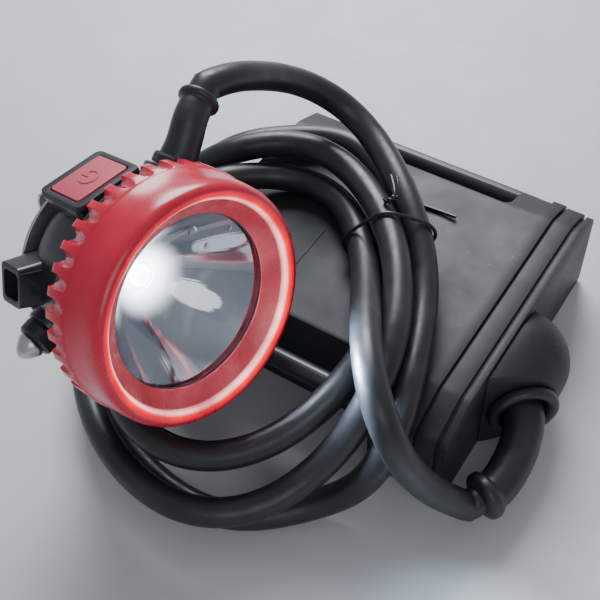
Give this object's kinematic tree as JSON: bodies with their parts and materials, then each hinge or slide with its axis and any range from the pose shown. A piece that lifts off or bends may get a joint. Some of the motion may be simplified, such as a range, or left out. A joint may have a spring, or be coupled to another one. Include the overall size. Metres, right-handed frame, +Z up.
{
  "type": "miner's cap lamp",
  "caption": "Miner's cap lamp: belt battery pack with a coiled, tied cable and a round lamp head with a red bezel, push switch and rear cap hook.",
  "frame": {"origin": "centre of the battery case's flat bottom face", "axes": "+Z up out of the battery's bottom face, +X towards the battery's capped end with the cable outlet, +Y away from the lamp head"},
  "size_m": [0.1796, 0.1741, 0.112],
  "materials": {
    "black_plastic": "satin moulded, lightly scuffed",
    "bar_plastic": "satin",
    "head_plastic": "semi-gloss moulded",
    "red_plastic": "glossy moulded",
    "button_rubber": "satin",
    "cable_rubber": "satin",
    "tie_plastic": "satin",
    "seal_rubber": "matte",
    "foam_rubber": "matte foam",
    "steel": "fine brushed",
    "nickel_strip": "bright",
    "cell_wrap": "shrink sleeve",
    "circuit_board": "solder mask",
    "board_white": "matte",
    "component_black": "matte",
    "fuse_body": "satin",
    "connector_cream": "satin",
    "led_yellow": "phosphor under clear dome",
    "reflector_chrome": "mirror, vacuum metallised",
    "heat_sink_metal": "turned",
    "clear_lens": "clear"
  },
  "bodies": {
    "cap_lamp": {"battery_boot": "cable_rubber", "battery_cap": "black_plastic", "battery_case": "black_plastic", "battery_cell_1": "cell_wrap", "battery_cell_2": "cell_wrap", "battery_cell_3": "cell_wrap", "battery_gland_nut": "cable_rubber", "belt_bar_far": "bar_plastic", "belt_bar_near": "bar_plastic", "bezel_gasket": "seal_rubber", "bezel_lock_screw": "steel", "bezel_ring": "red_plastic", "cable": "cable_rubber", "cable_outlet_hood": "black_plastic", "cable_tie": "tie_plastic", "cap_gasket": "seal_rubber", "cap_hook": "steel", "cell_cushion_lower": "foam_rubber", "cell_cushion_upper": "foam_rubber", "cell_strap_negative": "nickel_strip", "cell_strap_positive": "nickel_strip", "contact_bush": "cable_rubber", "contact_pin": "steel", "driver_board": "circuit_board", "driver_chip": "component_black", "driver_coil": "component_black", "head_boot": "cable_rubber", "head_gland_nut": "cable_rubber", "head_housing": "head_plastic", "heat_sink": "heat_sink_metal", "hook_rivet_lower": "steel", "hook_rivet_upper": "steel", "lead_plug": "connector_cream", "led_board": "board_white", "led_emitter": "led_yellow", "lens": "clear_lens", "lens_seal": "seal_rubber", "protection_board": "circuit_board", "reflector": "reflector_chrome", "switch_frame": "black_plastic", "tact_switch": "steel", "thermal_fuse": "fuse_body"},
    "switch_button": {"switch_button": "button_rubber"}
  },
  "joints": [
    {"name": "switch_press", "type": "slide", "parent": "cap_lamp", "child": "switch_button", "axis": [0.2359, -0.0394, -0.971], "range_m": [0, 0.001], "stiffness_N_per_m": 1500, "springref_m": -0.0004}
  ]
}
